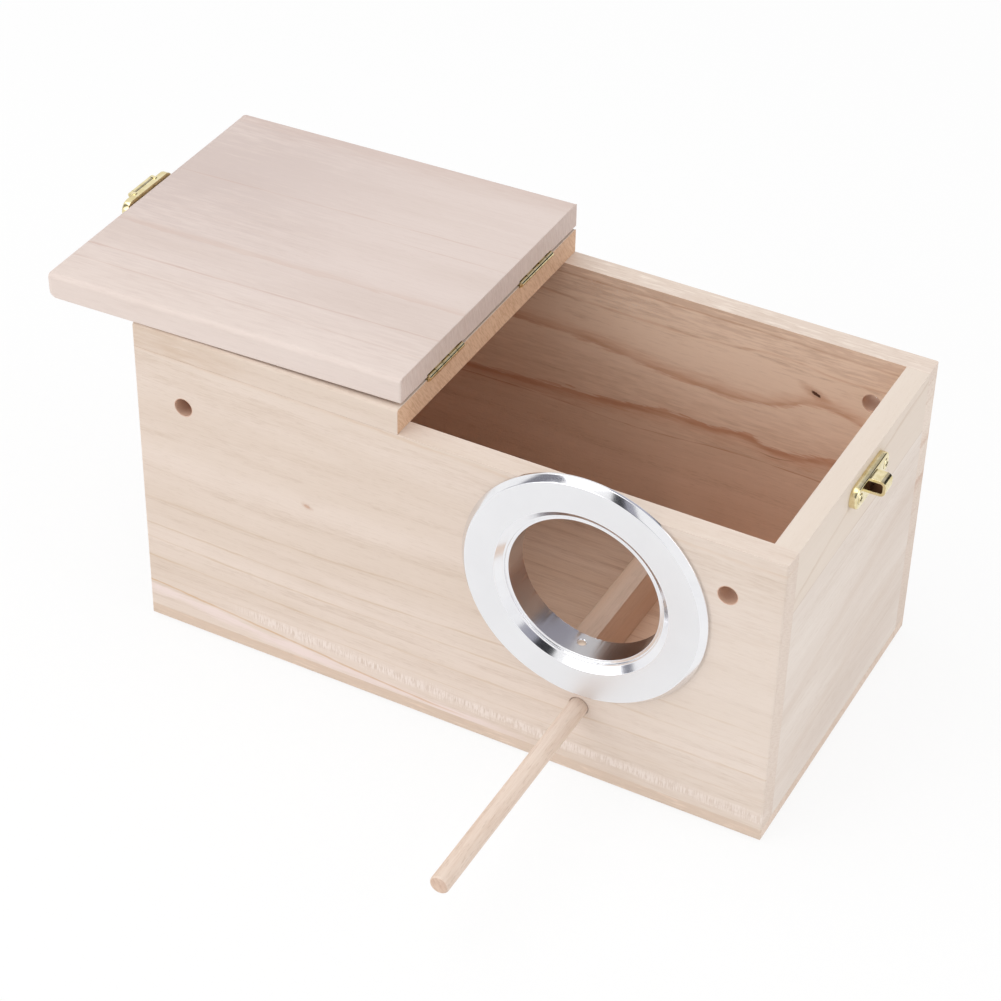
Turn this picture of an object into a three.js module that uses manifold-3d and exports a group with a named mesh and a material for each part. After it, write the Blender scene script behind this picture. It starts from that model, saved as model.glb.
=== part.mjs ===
// A timber breeding box for small birds: floor, four walls, a fixed half top and a hinged half lid, with a
// turned metal entrance ring, a perch, a low divider for the nest and a snap latch. The lid is folded open.
// Millimetres. X runs along the front, Y to the back, Z up, and the origin is the middle of the base.
import * as THREE from "three";
import { mergeVertices } from "three/addons/utils/BufferGeometryUtils.js";
import Module from "manifold-3d";

// Boards
const boxLength = 300;
const boxDepth = 158;
const wallHeight = 139.5;
const wallThickness = 10.5;
const floorThickness = 7;
const topThickness = 12;
const cornerRound = 1;
const floorRound = 2.5;
const topRound = 3;

// Lid. It is longer than the fixed top, so when it is open it hangs over the box's left end
const lidOverhang = 43;
const lidSkew = 3.9;
const lidSideGap = 0.8;
const lidSeatGap = 0.3;
const lidRestGap = 0.2;
const lidFrontSetback = 3;
const lidEndRound = 4.5;
const lidCornerRound = 5;
const lidHingeCorner = 1.2;
const lidUnderRound = 3;

// Divider on the floor between the nest and the entrance
const dividerHeight = 25;
const dividerThickness = 10.5;
const nestLength = 177.3;

// Vent holes in the front and back walls
const ventDiameter = 8.5;
const ventEndInset = 23.8;
const ventTopInset = 23.7;

// Entrance ring, a turned flange on a tube that goes through the front wall
const ringEndInset = 85.6;
const ringHeight = 100.7;
const ringDiameter = 111;
const ringProud = 3.8;
const rimHeight = 1.2;
const rimBevelWidth = 2.4;
const faceInnerDiameter = 78.8;
const tubeBore = 68.2;
const tubeWall = 1.2;
const tubeReach = 1.5;
const lipDepth = 3;
const lipWidth = 1.5;
const stepDepth = 2.2;
const stepWidth = 0.8;
const boreGap = 0.3;
const crossHoleDiameter = 3.6;
const crossHoleDepth = 6.6;
const crossHoleTurn = 5 * Math.PI / 180;

// Perch
const perchDiameter = 8.5;
const perchReach = 119;
const perchDrop = 62.7;
const perchEndChamfer = 0.6;
const perchGap = 0.3;

// Butt hinges between the fixed top and the lid
const hingeLength = 28.6;
const hingeInset = 39;
const hingeRise = 0.7;
const knuckleDiameter = 2.5;
const knuckleGap = 0.3;
const knuckleCount = 5;
const hingePinDiameter = 1.3;
const pinGap = 0.1;
const leafWidth = 10;
const leafThickness = 1;
const leafBedding = 0.1;
const recessGap = 0.3;
const hingeScrewSpacing = 16;
const hingeScrewInset = 6;

// Screws
const hingeScrew = { head: 4, headHeight: 1.1, shank: 2, length: 8, dome: 0, slot: 0 };
const latchScrew = { head: 4.8, headHeight: 1.4, shank: 2.4, length: 11, dome: 0.5, slot: 0.7 };
const screwGap = 0.2;
const screwTip = 1.5;

// Latch: a hasp plate and slotted tongue on the lid, and a keeper with a hollow hump on the wall
const plateLength = 35;
const plateHeight = 10.4;
const plateThickness = 3.4;
const plateCorner = 4.6;
const plateEdgeRound = 0.8;
const plateBedding = 0.1;
const plateScrewSpacing = 27;
const keeperDrop = 4.5;
const humpWidth = 7.6;
const humpHeight = 7.4;
const humpReach = 6.8;
const humpWall = 1.3;
const humpRound = 2.5;
const pivotInset = 1.8;
const latchPinDiameter = 1.2;
const earWidth = 1.6;
const barrelDiameter = 3;
const barrelGap = 0.3;
const tongueWidth = 13.4;
const tongueThickness = 0.8;
const tongueFaceGap = 0.3;
const tongueSideGap = 0.3;
const tongueEnd = 2.6;
const tongueCorner = 3.5;
const slotGap = 0.5;
const slotCorner = 1.2;
const curlLength = 5;
const curlRadius = 9;

// Finish of the curves, and how far a cut runs past the faces it opens
const cornerSteps = 5;
const ringSides = 72;
const perchSides = 36;
const holeSides = 28;
const screwSides = 20;
const pinSides = 16;
const edgeSteps = 3;
const overrun = 1;

// Levels and places that follow from the sizes above
const halfLength = boxLength / 2;
const halfDepth = boxDepth / 2;
const innerHalfDepth = halfDepth - wallThickness;
const innerHalfLength = halfLength - wallThickness;
const wallTop = floorThickness + wallHeight;
const topLevel = wallTop + topThickness;
const hingeX = -lidOverhang / 2;
const hingeZ = topLevel + hingeRise;
const fixedTopLength = halfLength + hingeX - lidSideGap / 2;
const hingeCentres = [
  ["hinge_front", hingeInset - halfDepth],
  ["hinge_back", halfDepth - hingeInset],
];
const screwEnds = [
  ["screw_front", -1],
  ["screw_back", 1],
];
const ringX = halfLength - ringEndInset;
const perchZ = ringHeight - perchDrop;
const lidEnd = halfLength - hingeX;
const lidThickness = topThickness - lidSeatGap;
const lidUnder = -hingeRise - lidThickness;
const haspZ = -hingeRise - lidThickness / 2;
const haspBack = lidEnd + plateBedding;
const haspFace = haspBack + plateThickness;
const pivotX = haspFace + tongueFaceGap + tongueThickness / 2;
const pivotZ = lidUnder + pivotInset;
const keeperZ = wallTop - keeperDrop - plateHeight / 2;
const restTilt = Math.asin((2 * hingeRise - lidRestGap) / (fixedTopLength - topRound));

// The shut tongue hangs over the hump, so its slot starts above the hump and ends past its lowest corner
const humpDrop = hingeZ + pivotZ - keeperZ;
const humpOut = halfLength + plateThickness + humpReach - hingeX - pivotX;
const slotStart = humpDrop - humpHeight / 2 - slotGap;
const humpCorner = Math.hypot(humpOut - humpRound, humpDrop + humpHeight / 2 - humpRound) + humpRound;
const slotEnd = humpCorner + slotGap;
const slotWidth = humpWidth + 2 * slotGap;
const tongueLength = slotEnd + tongueEnd;

// Finishes
const timber = { color: 0xe0cfbb, roughness: 0.72, metalness: 0 };
const turnedAluminium = { color: 0xdcdde0, roughness: 0.3, metalness: 1 };
const brassPlate = { color: 0xc9a85a, roughness: 0.25, metalness: 1 };

const wasm = await Module();
wasm.setup();

// A closed geometry becomes a solid that can be cut and joined
function solid(geometry) {
  geometry.deleteAttribute("normal");
  geometry.deleteAttribute("uv");
  const merged = mergeVertices(geometry);
  const corners = merged.index.array;
  const kept = [];
  for (let i = 0; i < corners.length; i += 3) {
    const [a, b, c] = [corners[i], corners[i + 1], corners[i + 2]];
    if (a !== b && b !== c && c !== a) kept.push(a, b, c);
  }
  const vertProperties = new Float32Array(merged.attributes.position.array);
  return new wasm.Manifold(new wasm.Mesh({ numProp: 3, vertProperties, triVerts: new Uint32Array(kept) }));
}

function joined(bodies) {
  return bodies.reduce((all, body) => all.add(body));
}

function mesh(name, body, finish) {
  const { vertProperties, triVerts } = body.getMesh();
  const geometry = new THREE.BufferGeometry();
  geometry.setAttribute("position", new THREE.BufferAttribute(vertProperties, 3));
  geometry.setIndex(new THREE.BufferAttribute(triVerts, 1));
  geometry.computeVertexNormals();
  const made = new THREE.Mesh(geometry, new THREE.MeshStandardMaterial(finish));
  made.name = name;
  return made;
}

// A rectangle whose corners are rounded one by one: low left, low right, high right, high left
function outline(left, low, right, high, rounds) {
  const [a, b, c, d] = rounds;
  const shape = new THREE.Shape();
  const turn = Math.PI / 2;
  const corner = (x, y, radius, start) => {
    shape.lineTo(x + radius * Math.cos(start), y + radius * Math.sin(start));
    if (radius > 0) shape.absarc(x, y, radius, start, start + turn, false);
  };
  shape.moveTo(left + a, low);
  corner(right - b, low + b, b, -turn);
  corner(right - c, high - c, c, 0);
  corner(left + d, high - d, d, turn);
  corner(left + a, low + a, a, Math.PI);
  return shape;
}

// Matrices that lay an extrusion along X, from a YZ outline, or along Y, from an XZ outline
const alongX = new THREE.Matrix4().makeBasis(
  new THREE.Vector3(0, 1, 0), new THREE.Vector3(0, 0, 1), new THREE.Vector3(1, 0, 0));
const alongY = new THREE.Matrix4().makeBasis(
  new THREE.Vector3(1, 0, 0), new THREE.Vector3(0, 0, 1), new THREE.Vector3(0, -1, 0));

function extruded(shape, depth) {
  return new THREE.ExtrudeGeometry(shape, { depth, bevelEnabled: false, curveSegments: cornerSteps });
}

function extrudedUp(shape, from, to) {
  return solid(extruded(shape, to - from).translate(0, 0, from));
}

function extrudedAlongX(shape, from, to) {
  return solid(extruded(shape, to - from).applyMatrix4(alongX).translate(from, 0, 0));
}

function extrudedAlongY(shape, from, to) {
  return solid(extruded(shape, to - from).applyMatrix4(alongY).translate(0, to, 0));
}

function block(low, high) {
  const size = high.map((value, i) => value - low[i]);
  const middle = high.map((value, i) => (value + low[i]) / 2);
  return solid(new THREE.BoxGeometry(...size).translate(...middle));
}

function rodAlongY(radius, x, z, from, to, sides) {
  const rod = new THREE.CylinderGeometry(radius, radius, to - from, sides);
  return solid(rod.translate(x, (from + to) / 2, z));
}

// A turned body about the Y axis from a profile of [radius, place] points, listed anticlockwise
function turned(profile, sides) {
  return solid(new THREE.LatheGeometry(profile.map(([r, y]) => new THREE.Vector2(r, y)), sides));
}

// A screw that points down, with the rim of its head at z = 0
function screw(kind) {
  const profile = [...shankProfile(kind, 0), ...domeProfile(kind)];
  const body = turned(profile, screwSides).rotate([90, 0, 0]);
  return kind.slot > 0 ? body.subtract(crossSlot(kind)) : body;
}

// The hole that a screw needs, open above its head
function screwHole(kind) {
  const top = kind.dome + screwGap;
  const profile = [...shankProfile(kind, screwGap), [kind.head / 2 + screwGap, top], [0, top]];
  return turned(profile, screwSides).rotate([90, 0, 0]);
}

function shankProfile(kind, gap) {
  const shank = kind.shank / 2 + gap;
  const tip = -kind.length - gap;
  return [[0, tip], [shank, tip + screwTip], [shank, -kind.headHeight], [kind.head / 2 + gap, 0]];
}

function domeProfile(kind) {
  if (kind.dome === 0) return [[0, 0]];
  const dome = [];
  for (let i = 1; i < cornerSteps; i++) {
    const angle = i / cornerSteps * Math.PI / 2;
    dome.push([kind.head / 2 * Math.cos(angle), kind.dome * Math.sin(angle)]);
  }
  return [...dome, [0, kind.dome]];
}

// The cross in a screw's head
function crossSlot(kind) {
  const reachShare = 0.3;
  const depthShare = 0.75;
  const reach = kind.head * reachShare;
  const floor = -kind.headHeight * depthShare;
  const half = kind.slot / 2;
  const top = kind.dome + overrun;
  return block([-reach, -half, floor], [reach, half, top])
    .add(block([-half, -reach, floor], [half, reach, top]));
}

function floorBoard() {
  const corners = Array(4).fill(cornerRound);
  const lower = [floorRound, floorRound, 0, 0];
  const plan = outline(-halfLength, -halfDepth, halfLength, halfDepth, corners);
  const side = outline(-halfDepth, 0, halfDepth, floorThickness, lower);
  const front = outline(-halfLength, 0, halfLength, floorThickness, lower);
  return extrudedUp(plan, 0, floorThickness)
    .intersect(extrudedAlongX(side, -halfLength, halfLength))
    .intersect(extrudedAlongY(front, -halfDepth, halfDepth));
}

function ventHoles(from, to) {
  const x = halfLength - ventEndInset;
  const z = wallTop - ventTopInset;
  const left = rodAlongY(ventDiameter / 2, -x, z, from, to, holeSides);
  return left.add(rodAlongY(ventDiameter / 2, x, z, from, to, holeSides));
}

function frontWall() {
  const rounds = [cornerRound, cornerRound, 0, 0];
  const plan = outline(-halfLength, -halfDepth, halfLength, -innerHalfDepth, rounds);
  const from = -halfDepth - overrun;
  const to = -innerHalfDepth + overrun;
  const boreRadius = tubeBore / 2 + tubeWall + boreGap;
  return extrudedUp(plan, floorThickness, wallTop)
    .subtract(ventHoles(from, to))
    .subtract(rodAlongY(boreRadius, ringX, ringHeight, from, to, ringSides))
    .subtract(rodAlongY(perchDiameter / 2 + perchGap, ringX, perchZ, from, to, perchSides));
}

function backWall() {
  const rounds = [0, 0, cornerRound, cornerRound];
  const plan = outline(-halfLength, innerHalfDepth, halfLength, halfDepth, rounds);
  return extrudedUp(plan, floorThickness, wallTop)
    .subtract(ventHoles(innerHalfDepth - overrun, halfDepth + overrun));
}

function endBoard(side) {
  const [low, high] = side < 0 ? [-halfLength, -innerHalfLength] : [innerHalfLength, halfLength];
  return block([low, -innerHalfDepth, floorThickness], [high, innerHalfDepth, wallTop]);
}

function rightEnd() {
  return endBoard(1).subtract(latchScrewHoles(halfLength, keeperZ));
}

function nestDivider() {
  const left = nestLength - innerHalfLength;
  return block(
    [left, -innerHalfDepth, floorThickness],
    [left + dividerThickness, innerHalfDepth, floorThickness + dividerHeight]);
}

// Places about the hinge's axis take the side as -1 for the fixed top and 1 for the lid
function hingeScrewAt(body, side, y, end) {
  return body.translate([side * hingeScrewInset, y + end * hingeScrewSpacing / 2, -hingeRise]);
}

function hingeScrewHoles(side, y) {
  return joined(screwEnds.map(([, end]) => hingeScrewAt(screwHole(hingeScrew), side, y, end)));
}

// The seats that the two hinges need in a board
function hingeSeats(side) {
  return joined(hingeCentres.map(([, y]) => {
    const reach = side * (leafWidth + recessGap);
    const half = hingeLength / 2 + recessGap;
    const floor = -hingeRise - leafThickness - leafBedding;
    const barrel = rodAlongY(knuckleDiameter / 2 + recessGap, 0, 0, y - half, y + half, holeSides);
    const bed = block([Math.min(0, reach), y - half, floor], [Math.max(0, reach), y + half, overrun]);
    return joined([bed, barrel, hingeScrewHoles(side, y)]);
  }));
}

function fixedTop() {
  const right = fixedTopLength - halfLength;
  const plan = outline(-halfLength, -halfDepth, right, halfDepth, [cornerRound, 0, 0, cornerRound]);
  const side = outline(-halfDepth, wallTop, halfDepth, topLevel, [0, 0, topRound, topRound]);
  const front = outline(-halfLength, wallTop, right, topLevel, [0, 0, 0, topRound]);
  return extrudedUp(plan, wallTop, topLevel)
    .intersect(extrudedAlongX(side, -halfLength, right))
    .intersect(extrudedAlongY(front, -halfDepth, halfDepth))
    .subtract(hingeSeats(-1).translate([hingeX, 0, hingeZ]));
}

// The lid about the hinge's axis, shut. It is a little out of square, with its free end too far forward
function lidBoard() {
  const hinged = lidSideGap / 2;
  const front = lidFrontSetback - halfDepth;
  const high = -hingeRise;
  const planRounds = [lidHingeCorner, lidCornerRound, lidCornerRound, 0];
  const sideRounds = [lidUnderRound, lidUnderRound, topRound, topRound];
  const plan = outline(hinged, front, lidEnd, halfDepth, planRounds);
  const side = outline(front, lidUnder, halfDepth, high, sideRounds);
  const length = outline(hinged, lidUnder, lidEnd, high, [0, lidEndRound, lidEndRound, 0]);
  const skew = new THREE.Matrix4().makeShear(-lidSkew / lidEnd, 0, 0, 0, 0, 0);
  return extrudedUp(plan, lidUnder, high)
    .intersect(extrudedAlongX(side, hinged, lidEnd))
    .intersect(extrudedAlongY(length, front, halfDepth))
    .transform(skew.elements)
    .subtract(hingeSeats(1))
    .subtract(latchScrewHoles(haspBack, haspZ));
}

// A hinge leaf about the hinge's axis. The knuckles of the two leaves take turns along the pin
function hingeLeaf(side, y) {
  const start = y - hingeLength / 2;
  const end = y + hingeLength / 2;
  const [low, high] = [-hingeRise - leafThickness, -hingeRise];
  const root = side * (knuckleDiameter / 2 + knuckleGap);
  const far = side * leafWidth;
  const pitch = (hingeLength + knuckleGap) / knuckleCount;
  const pieces = [block([Math.min(root, far), start, low], [Math.max(root, far), end, high])];
  for (let i = side < 0 ? 0 : 1; i < knuckleCount; i += 2) {
    const from = start + i * pitch;
    const to = from + pitch - knuckleGap;
    pieces.push(rodAlongY(knuckleDiameter / 2, 0, 0, from, to, holeSides));
    pieces.push(block([Math.min(far, 0), from, low], [Math.max(far, 0), to, high]));
  }
  const bore = hingePinDiameter / 2 + pinGap;
  return joined(pieces)
    .subtract(rodAlongY(bore, 0, 0, start - overrun, end + overrun, pinSides))
    .subtract(hingeScrewHoles(side, y));
}

function hingePin(y) {
  return rodAlongY(hingePinDiameter / 2, 0, 0, y - hingeLength / 2, y + hingeLength / 2, pinSides);
}

// The flange and its tube in one turned piece, with a cross hole low in the tube
function entranceRing() {
  const face = -halfDepth;
  const front = face - ringProud;
  const back = -innerHalfDepth + tubeReach;
  const bore = tubeBore / 2;
  const outer = bore + tubeWall;
  const lip = bore + lipWidth;
  const step = lip + stepWidth;
  const rim = ringDiameter / 2;
  const ring = turned([
    [bore, back],
    [bore, front + lipDepth],
    [lip, front + lipDepth],
    [lip, front + stepDepth],
    [step, front + stepDepth],
    [faceInnerDiameter / 2, front],
    [rim - rimBevelWidth, front],
    [rim, face - rimHeight],
    [rim, face],
    [outer, face],
    [outer, back],
    [bore, back],
  ], ringSides);
  const holeRadius = crossHoleDiameter / 2;
  const hole = new THREE.CylinderGeometry(holeRadius, holeRadius, tubeBore, holeSides);
  hole.rotateX(Math.PI / 2).translate(0, 0, -bore).rotateY(crossHoleTurn);
  const crossHole = solid(hole).translate([0, face + crossHoleDepth, 0]);
  return ring.subtract(crossHole).translate([ringX, 0, ringHeight]);
}

function perch() {
  const radius = perchDiameter / 2;
  const tip = -halfDepth - perchReach;
  const root = -innerHalfDepth;
  const rod = turned([
    [0, tip], [radius - perchEndChamfer, tip], [radius, tip + perchEndChamfer], [radius, root], [0, root],
  ], perchSides);
  return rod.translate([ringX, 0, perchZ]);
}

// Places on a latch plate take the x of the plate's back and the z of its middle
function latchScrewAt(body, x, z, end) {
  return body.rotate([0, 90, 0]).translate([x + plateThickness, end * plateScrewSpacing / 2, z]);
}

function latchScrewHoles(x, z) {
  return joined(screwEnds.map(([, end]) => latchScrewAt(screwHole(latchScrew), x, z, end)));
}

// The plate that both halves of the latch share, its outer edge rounded over
function latchPlate(x, z) {
  const half = plateLength / 2 - plateEdgeRound;
  const high = plateHeight / 2 - plateEdgeRound;
  const shape = outline(-half, -high, half, high, Array(4).fill(plateCorner - plateEdgeRound));
  const rounded = new THREE.ExtrudeGeometry(shape, {
    depth: plateThickness - plateEdgeRound,
    bevelSize: plateEdgeRound,
    bevelThickness: plateEdgeRound,
    bevelSegments: edgeSteps,
    curveSegments: cornerSteps,
  });
  rounded.applyMatrix4(alongX);
  const behind = block([-plateThickness, -plateLength, -plateHeight], [0, plateLength, plateHeight]);
  return solid(rounded).subtract(behind).translate([x, 0, z]).subtract(latchScrewHoles(x, z));
}

// The keeper's hump is hollow from side to side
function keeperPlate() {
  const face = halfLength + plateThickness;
  const reach = face + humpReach;
  const [low, high] = [keeperZ - humpHeight / 2, keeperZ + humpHeight / 2];
  const inner = Math.max(humpRound - humpWall, 0);
  const outer = outline(face - plateEdgeRound, low, reach, high, [0, humpRound, humpRound, 0]);
  const tunnel = outline(face, low + humpWall, reach - humpWall, high - humpWall, [0, inner, inner, 0]);
  const hump = extrudedAlongY(outer, -humpWidth / 2, humpWidth / 2)
    .subtract(extrudedAlongY(tunnel, -humpWidth, humpWidth));
  return latchPlate(halfLength, keeperZ).add(hump);
}

// The hasp plate has an ear on each side of the tongue's barrel and a groove to let the barrel turn
function haspPlate() {
  const radius = barrelDiameter / 2;
  const inner = tongueWidth / 2 + tongueSideGap;
  const outer = inner + earWidth;
  const root = haspFace - plateThickness / 2;
  const pinHole = latchPinDiameter / 2 + pinGap;
  const ear = new THREE.Shape();
  ear.moveTo(root, pivotZ - radius);
  ear.lineTo(pivotX, pivotZ - radius);
  ear.absarc(pivotX, pivotZ, radius, -Math.PI / 2, Math.PI / 2, false);
  ear.lineTo(root, pivotZ + radius);
  return latchPlate(haspBack, haspZ)
    .add(extrudedAlongY(ear, -outer, -inner))
    .add(extrudedAlongY(ear, inner, outer))
    .subtract(rodAlongY(radius + barrelGap, pivotX, pivotZ, -inner, inner, holeSides))
    .subtract(rodAlongY(pinHole, pivotX, pivotZ, -outer - overrun, outer + overrun, pinSides));
}

function haspPin() {
  const reach = tongueWidth / 2 + tongueSideGap + earWidth;
  return rodAlongY(latchPinDiameter / 2, 0, 0, -reach, reach, pinSides);
}

// The tongue about its pivot, hanging down as it does when the latch is shut, its end curled outwards
function haspTongue() {
  const half = tongueThickness / 2;
  const side = tongueWidth / 2;
  const straight = tongueLength - curlLength;
  const sweep = Math.PI + curlLength / curlRadius;
  const strip = new THREE.Shape();
  strip.moveTo(-half, 0);
  strip.lineTo(-half, -straight);
  strip.absarc(curlRadius, -straight, curlRadius + half, Math.PI, sweep, false);
  strip.absarc(curlRadius, -straight, curlRadius - half, sweep, Math.PI, true);
  strip.lineTo(half, 0);
  const plan = outline(-side, -tongueLength, side, 0, [tongueCorner, tongueCorner, 0, 0]);
  plan.holes.push(outline(-slotWidth / 2, -slotEnd, slotWidth / 2, -slotStart, Array(4).fill(slotCorner)));
  return extrudedAlongY(strip, -side, side)
    .intersect(extrudedAlongX(plan, -tongueLength, tongueLength))
    .add(rodAlongY(barrelDiameter / 2, 0, 0, -side, side, holeSides))
    .subtract(rodAlongY(latchPinDiameter / 2 + pinGap, 0, 0, -side - overrun, side + overrun, pinSides));
}

const box = new THREE.Group();
box.add(
  mesh("floor_board", floorBoard(), timber),
  mesh("front_wall", frontWall(), timber),
  mesh("back_wall", backWall(), timber),
  mesh("left_end", endBoard(-1), timber),
  mesh("right_end", rightEnd(), timber),
  mesh("fixed_top", fixedTop(), timber),
  mesh("nest_divider", nestDivider(), timber),
  mesh("entrance_ring", entranceRing(), turnedAluminium),
  mesh("perch", perch(), timber),
  mesh("keeper_plate", keeperPlate(), brassPlate),
);

// The lid is made shut and turned about the hinge line until it lies on the far edge of the fixed top
const hingeLine = new THREE.Group();
hingeLine.position.set(hingeX, 0, hingeZ);
const openLid = new THREE.Group();
openLid.rotation.y = Math.PI - restTilt;
openLid.add(
  mesh("lid", lidBoard(), timber),
  mesh("hasp_plate", haspPlate(), brassPlate),
);

for (const [hinge, y] of hingeCentres) {
  hingeLine.add(mesh(`${hinge}_fixed_leaf`, hingeLeaf(-1, y), brassPlate));
  hingeLine.add(mesh(`${hinge}_pin`, hingePin(y), brassPlate));
  openLid.add(mesh(`${hinge}_lid_leaf`, hingeLeaf(1, y), brassPlate));
  for (const [name, end] of screwEnds) {
    hingeLine.add(mesh(`${hinge}_fixed_${name}`, hingeScrewAt(screw(hingeScrew), -1, y, end), brassPlate));
    openLid.add(mesh(`${hinge}_lid_${name}`, hingeScrewAt(screw(hingeScrew), 1, y, end), brassPlate));
  }
}

for (const [name, end] of screwEnds) {
  box.add(mesh(`keeper_${name}`, latchScrewAt(screw(latchScrew), halfLength, keeperZ, end), brassPlate));
  openLid.add(mesh(`hasp_${name}`, latchScrewAt(screw(latchScrew), haspBack, haspZ, end), brassPlate));
}

// The tongue is turned half a turn on its pin, so that it hangs from the open lid
const latchPivot = new THREE.Group();
latchPivot.position.set(pivotX, 0, pivotZ);
const openTongue = new THREE.Group();
openTongue.rotation.y = Math.PI;
openTongue.add(mesh("hasp_tongue", haspTongue(), brassPlate));
latchPivot.add(mesh("hasp_pin", haspPin(), brassPlate), openTongue);
openLid.add(latchPivot);

hingeLine.add(openLid);
box.add(hingeLine);

export default box;
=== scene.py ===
# Bird breeding box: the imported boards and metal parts, dressed with procedural timber, aluminium and brass
import math

import bmesh
import bpy
from mathutils import Matrix, Vector


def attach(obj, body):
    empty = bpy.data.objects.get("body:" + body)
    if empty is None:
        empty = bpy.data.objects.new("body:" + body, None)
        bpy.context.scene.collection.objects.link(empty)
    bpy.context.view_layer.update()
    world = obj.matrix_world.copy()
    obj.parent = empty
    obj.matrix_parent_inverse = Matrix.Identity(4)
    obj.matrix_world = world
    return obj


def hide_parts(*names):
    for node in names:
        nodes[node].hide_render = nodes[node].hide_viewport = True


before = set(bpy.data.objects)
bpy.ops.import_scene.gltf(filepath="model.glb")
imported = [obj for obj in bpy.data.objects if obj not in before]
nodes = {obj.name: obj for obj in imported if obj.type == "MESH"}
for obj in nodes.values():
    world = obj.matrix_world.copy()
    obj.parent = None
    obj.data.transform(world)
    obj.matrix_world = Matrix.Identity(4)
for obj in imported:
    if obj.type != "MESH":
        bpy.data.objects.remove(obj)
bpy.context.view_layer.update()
mm = 0.001
print("frame loaded:", len(nodes), "nodes")


def plug(tree, socket, value):  # a socket is linked, a number is set
    if isinstance(value, bpy.types.NodeSocket):
        tree.links.new(value, socket)
    else:
        socket.default_value = value


def add(tree, kind, inputs=None, **settings):
    made = tree.nodes.new("ShaderNode" + kind)
    for key, value in settings.items():
        setattr(made, key, value)
    for key, value in (inputs or {}).items():
        plug(tree, made.inputs[key], value)
    return made


def calc(tree, operation, *values):
    return add(tree, "Math", dict(enumerate(values)), operation=operation).outputs[0]


def times(tree, first, *others):
    for other in others:
        first = calc(tree, "MULTIPLY", first, other)
    return first


def flip(tree, value):  # 0 becomes 1, and 1 becomes 0
    return calc(tree, "SUBTRACT", 1.0, value)


def hypot(tree, a, b):
    return calc(tree, "SQRT", calc(tree, "ADD", times(tree, a, a), times(tree, b, b)))


def smooth(tree, value, low, high):  # 0 below low, 1 above high
    return add(tree, "MapRange", {0: value, 1: low, 2: high}, interpolation_type="SMOOTHSTEP").outputs[0]


def split(tree, vector):
    return add(tree, "SeparateXYZ", {0: vector}).outputs


def join(tree, x, y, z):
    return add(tree, "CombineXYZ", {0: x, 1: y, 2: z}).outputs[0]


def vectorCalc(tree, operation, *values):
    return add(tree, "VectorMath", dict(enumerate(values)), operation=operation).outputs[0]


def scaled(tree, vector, factor):
    return add(tree, "VectorMath", {0: vector, "Scale": factor}, operation="SCALE").outputs[0]


def length(tree, vector):
    return add(tree, "VectorMath", {0: vector}, operation="LENGTH").outputs["Value"]


def turned(tree, vector, axis, degrees):
    rotation = [math.radians(degrees) if name == axis else 0 for name in "XYZ"]
    return add(tree, "Mapping", {"Vector": vector, "Rotation": rotation}).outputs[0]


def stretched(tree, vector, along, across):  # gives a noise features of this many mm
    return vectorCalc(tree, "MULTIPLY", vector, (1 / along, 1 / across, 1 / across))


def farFrom(tree, spot, x, y, wide=1, high=1):  # how far a place is from a point, in shares of wide and high
    off = vectorCalc(tree, "SUBTRACT", spot, (x, y, 0))
    return length(tree, vectorCalc(tree, "MULTIPLY", off, (1 / wide, 1 / high, 0)))


def inMm(tree, vector):
    return vectorCalc(tree, "MULTIPLY", vector, (1000, 1000, 1000))


def noise(tree, vector, detail, rough=0.5, output=0):  # output 0 is grey, 1 is in colour
    inputs = {"Vector": vector, "Scale": 1.0, "Detail": detail, "Roughness": rough}
    return add(tree, "TexNoise", inputs).outputs[output]


def noiseAlong(tree, value):
    inputs = {"W": value, "Scale": 1.0, "Detail": 2.0}
    return add(tree, "TexNoise", inputs, noise_dimensions="1D").outputs[0]


def centred(tree, colourNoise):
    return vectorCalc(tree, "SUBTRACT", colourNoise, (0.5, 0.5, 0.5))


def tint(tree, amount, base, over, blend="MIX"):
    inputs = {0: amount, 6: base, 7: over}
    return add(tree, "Mix", inputs, data_type="RGBA", blend_type=blend, clamp_factor=True).outputs[2]


def group(name, inputs, outputs):
    tree = bpy.data.node_groups.new(name, "ShaderNodeTree")
    for label, kind, value in inputs:
        socket = tree.interface.new_socket(label, in_out="INPUT", socket_type="NodeSocket" + kind)
        if value is not None:
            socket.default_value = value
    for label in outputs:
        tree.interface.new_socket(label, in_out="OUTPUT", socket_type="NodeSocketFloat")
    return tree, tree.nodes.new("NodeGroupInput").outputs, tree.nodes.new("NodeGroupOutput").inputs


def useGroup(tree, groupTree, inputs):
    return add(tree, "Group", inputs, node_tree=groupTree).outputs


def newMaterial(name):
    made = bpy.data.materials.new(name)
    made.use_nodes = True
    made.node_tree.nodes.clear()
    return made, made.node_tree


def finish(tree, surface, kind="Material"):
    add(tree, "Output" + kind, {0: surface.outputs[0]})


def newMesh(name, work):
    mesh = bpy.data.meshes.new(name)
    work.to_mesh(mesh)
    work.free()
    return mesh


def newObject(name, data):
    made = bpy.data.objects.new(name, data)
    bpy.context.scene.collection.objects.link(made)
    return made


def paint(red, green, blue):  # a colour as seen on screen, 0 to 255
    def linear(value):
        share = value / 255
        return share / 12.92 if share <= 0.04045 else ((share + 0.055) / 1.055) ** 2.4
    return (linear(red), linear(green), linear(blue), 1.0)


grainShape = {
    "offset": (31.7, 17.3, 53.1),  # how far one step of the seed moves the pattern
    "sweep": (150, 60), "wave": (28, 9), "patch": (55, 7), "tone": (190, 26),  # mm along and across the grain
    "coarse": (26, 1.1), "fine": (9, 0.42), "pore": (4.5, 0.5),
    "waveShare": 0.12, "yearPace": 0.37, "unevenYears": 2.2,  # how much the lines wave, and how years differ
    "yearRange": (0.7, 0.3), "poresInLines": 0.16,
}


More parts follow.
